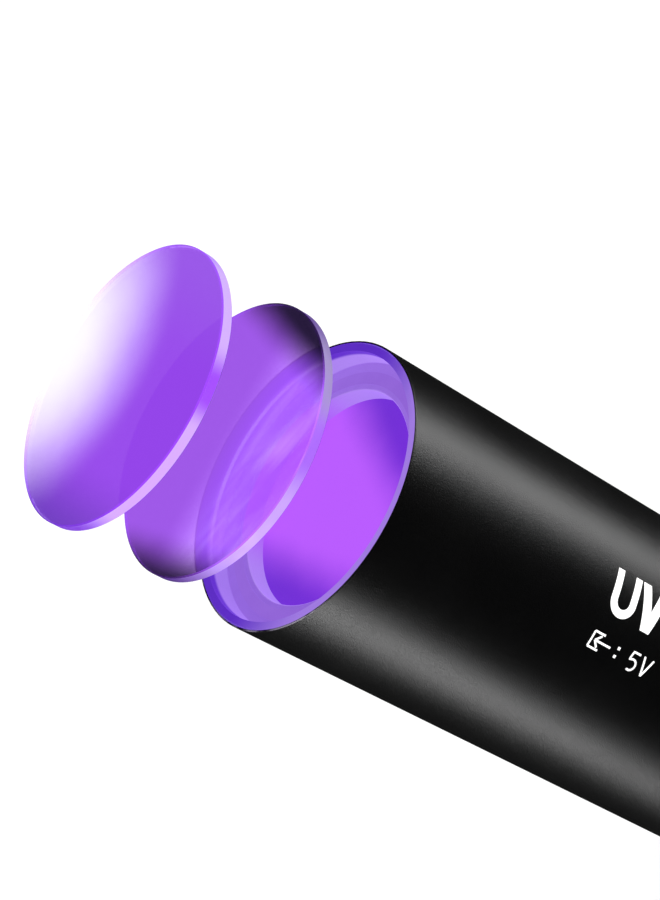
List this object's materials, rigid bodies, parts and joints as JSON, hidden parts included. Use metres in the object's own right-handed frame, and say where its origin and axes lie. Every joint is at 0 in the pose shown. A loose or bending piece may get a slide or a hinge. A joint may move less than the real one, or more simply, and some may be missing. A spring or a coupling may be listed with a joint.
{
  "type": "uv curing lamp",
  "caption": "Hand-held UV curing lamp: black tube with a lit stepped violet mouth, lift-out filter and front glass discs, screw-off tail cap with charging port and button.",
  "frame": {"origin": "centre of the flat standing ring under the tail cap, where the lamp stands", "axes": "+Z along the lamp's axis from the tail towards the mouth; +Y through the charging port's door"},
  "size_m": [0.038, 0.038, 0.1465],
  "materials": {
    "black_anodised": "fine sand-blasted, anodised",
    "violet_anodised": "satin, anodised",
    "clear_silicone": "satin, translucent",
    "frosted_window": "frosted acrylic, lit from behind",
    "mirror_plastic": "vacuum metallised",
    "white_board": "white solder mask on an aluminium core",
    "emitter": "clear silicone domes",
    "steel": "nickel plated",
    "red_lead": "satin",
    "thermal_pad": "matte",
    "bare_aluminium": "turned",
    "green_board": "solder mask",
    "ferrite": "matte",
    "chip_black": "moulded",
    "brass": "satin",
    "dark_plastic": "moulded",
    "cell_wrap": "shrink wrap",
    "filter_glass": "polished, violet filter glass",
    "front_glass": "polished, coated",
    "seal_rubber": "satin",
    "ivory_plastic": "moulded",
    "clear_rod": "polished acrylic",
    "door_plastic": "fine spark texture",
    "door_silicone": "satin",
    "black_button": "turned, anodised"
  },
  "bodies": {
    "tail": {"tail_cap": "black_anodised", "charge_board": "green_board", "board_ring": "dark_plastic", "ring_contact": "brass", "battery_spring": "steel", "usb_shell": "steel", "usb_tongue": "chip_black", "charge_chips": "chip_black", "charge_inductor": "ferrite", "switch_body": "chip_black", "indicator_led": "ivory_plastic", "light_pipe": "clear_rod", "door_pin": "steel"},
    "joint_seal": {"tail_o_ring": "seal_rubber"},
    "barrel": {"barrel_tube": "black_anodised", "bezel_ring": "violet_anodised", "glass_gasket": "clear_silicone", "diffuser_window": "frosted_window", "reflector_cup": "mirror_plastic", "led_board": "white_board", "led_emitters": "emitter", "led_board_screws": "steel", "led_wires": "red_lead", "thermal_pad": "thermal_pad", "heat_sink": "bare_aluminium", "driver_board": "green_board", "driver_inductor": "ferrite", "driver_chips": "chip_black", "front_contact": "brass", "battery_carrier": "dark_plastic", "battery_cell": "cell_wrap", "cell_terminal": "steel", "bus_strip": "brass"},
    "filter_disc": {"filter_glass": "filter_glass"},
    "front_disc": {"front_glass": "front_glass"},
    "button": {"power_button": "black_button", "button_seal": "seal_rubber"},
    "plunger": {"switch_plunger": "ivory_plastic"},
    "door": {"port_door": "door_plastic", "door_plug": "door_silicone"}
  },
  "joints": [
    {"name": "barrel_turn", "type": "hinge", "parent": "tail", "child": "joint_seal", "pos_m": [0, 0, 0.022], "axis": [0, 0, 1], "range_deg": [0, 1800]},
    {"name": "barrel_rise", "type": "slide", "parent": "joint_seal", "child": "barrel", "axis": [0, 0, 1], "range_m": [0, 0.0075]},
    {"name": "filter_lift", "type": "slide", "parent": "barrel", "child": "filter_disc", "axis": [0, 0, 1], "range_m": [-0.01525, 0]},
    {"name": "front_lift", "type": "slide", "parent": "filter_disc", "child": "front_disc", "axis": [0, 0, 1], "range_m": [-0.01365, 0]},
    {"name": "power_press", "type": "slide", "parent": "tail", "child": "button", "axis": [0, 0, 1], "range_m": [0, 0.0005], "stiffness_N_per_m": 1500, "springref_m": -0.0003},
    {"name": "switch_press", "type": "slide", "parent": "tail", "child": "plunger", "axis": [0, 0, 1], "range_m": [0, 0.00045]},
    {"name": "door_swing", "type": "hinge", "parent": "tail", "child": "door", "pos_m": [0, 0.017, 0.01193], "axis": [-1, 0, 0], "range_deg": [0, 100]}
  ],
  "couplings": [
    {"joint": "barrel_rise", "follows": "barrel_turn", "m_per_rad": 0.00023873},
    {"joint": "switch_press", "follows": "power_press", "ratio": 0.9}
  ]
}
